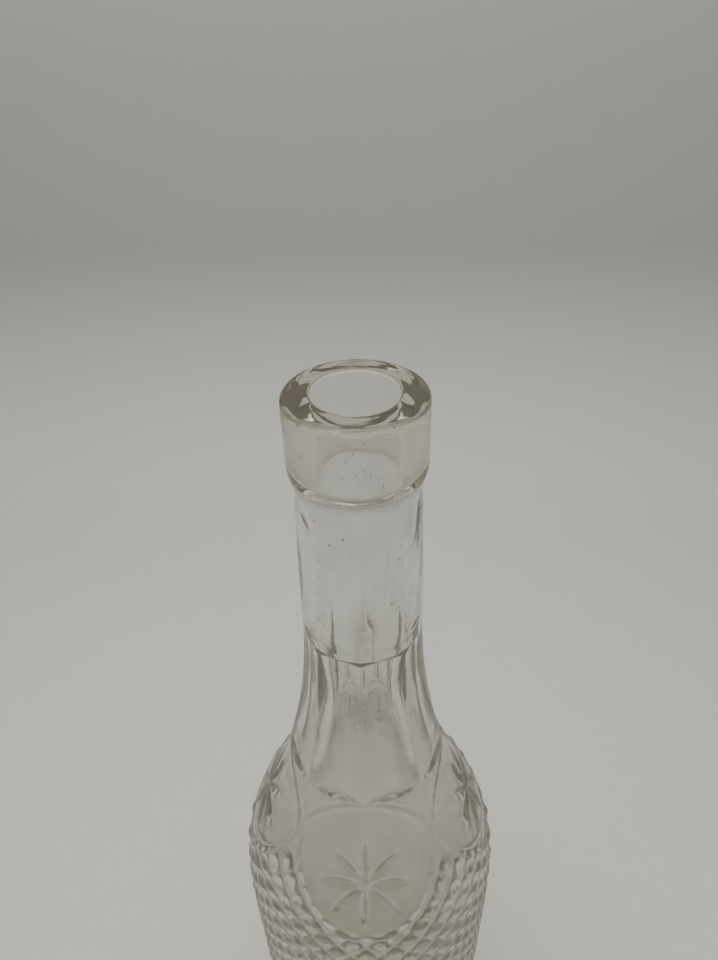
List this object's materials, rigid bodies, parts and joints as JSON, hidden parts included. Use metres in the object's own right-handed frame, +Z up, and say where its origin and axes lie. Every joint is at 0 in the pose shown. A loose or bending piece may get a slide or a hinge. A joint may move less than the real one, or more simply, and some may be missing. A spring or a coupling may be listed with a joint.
{
  "type": "glass bottle",
  "caption": "Pressed clear glass bottle with an applied lip, panelled neck, star medallions on the shoulder and a field of diamond points.",
  "frame": {"origin": "centre of the resting ring under the base", "axes": "+Z up along the bottle's axis, -Y through the middle of one star medallion"},
  "size_m": [0.0732, 0.0732, 0.28],
  "materials": {
    "clear_glass": "clear pressed glass, fire polished, lightly dusty",
    "lip_glass": "thick clear glass with a faint warm tone"
  },
  "bodies": {
    "root": {"bottle": "clear_glass", "lip_collar": "lip_glass"}
  },
  "joints": []
}
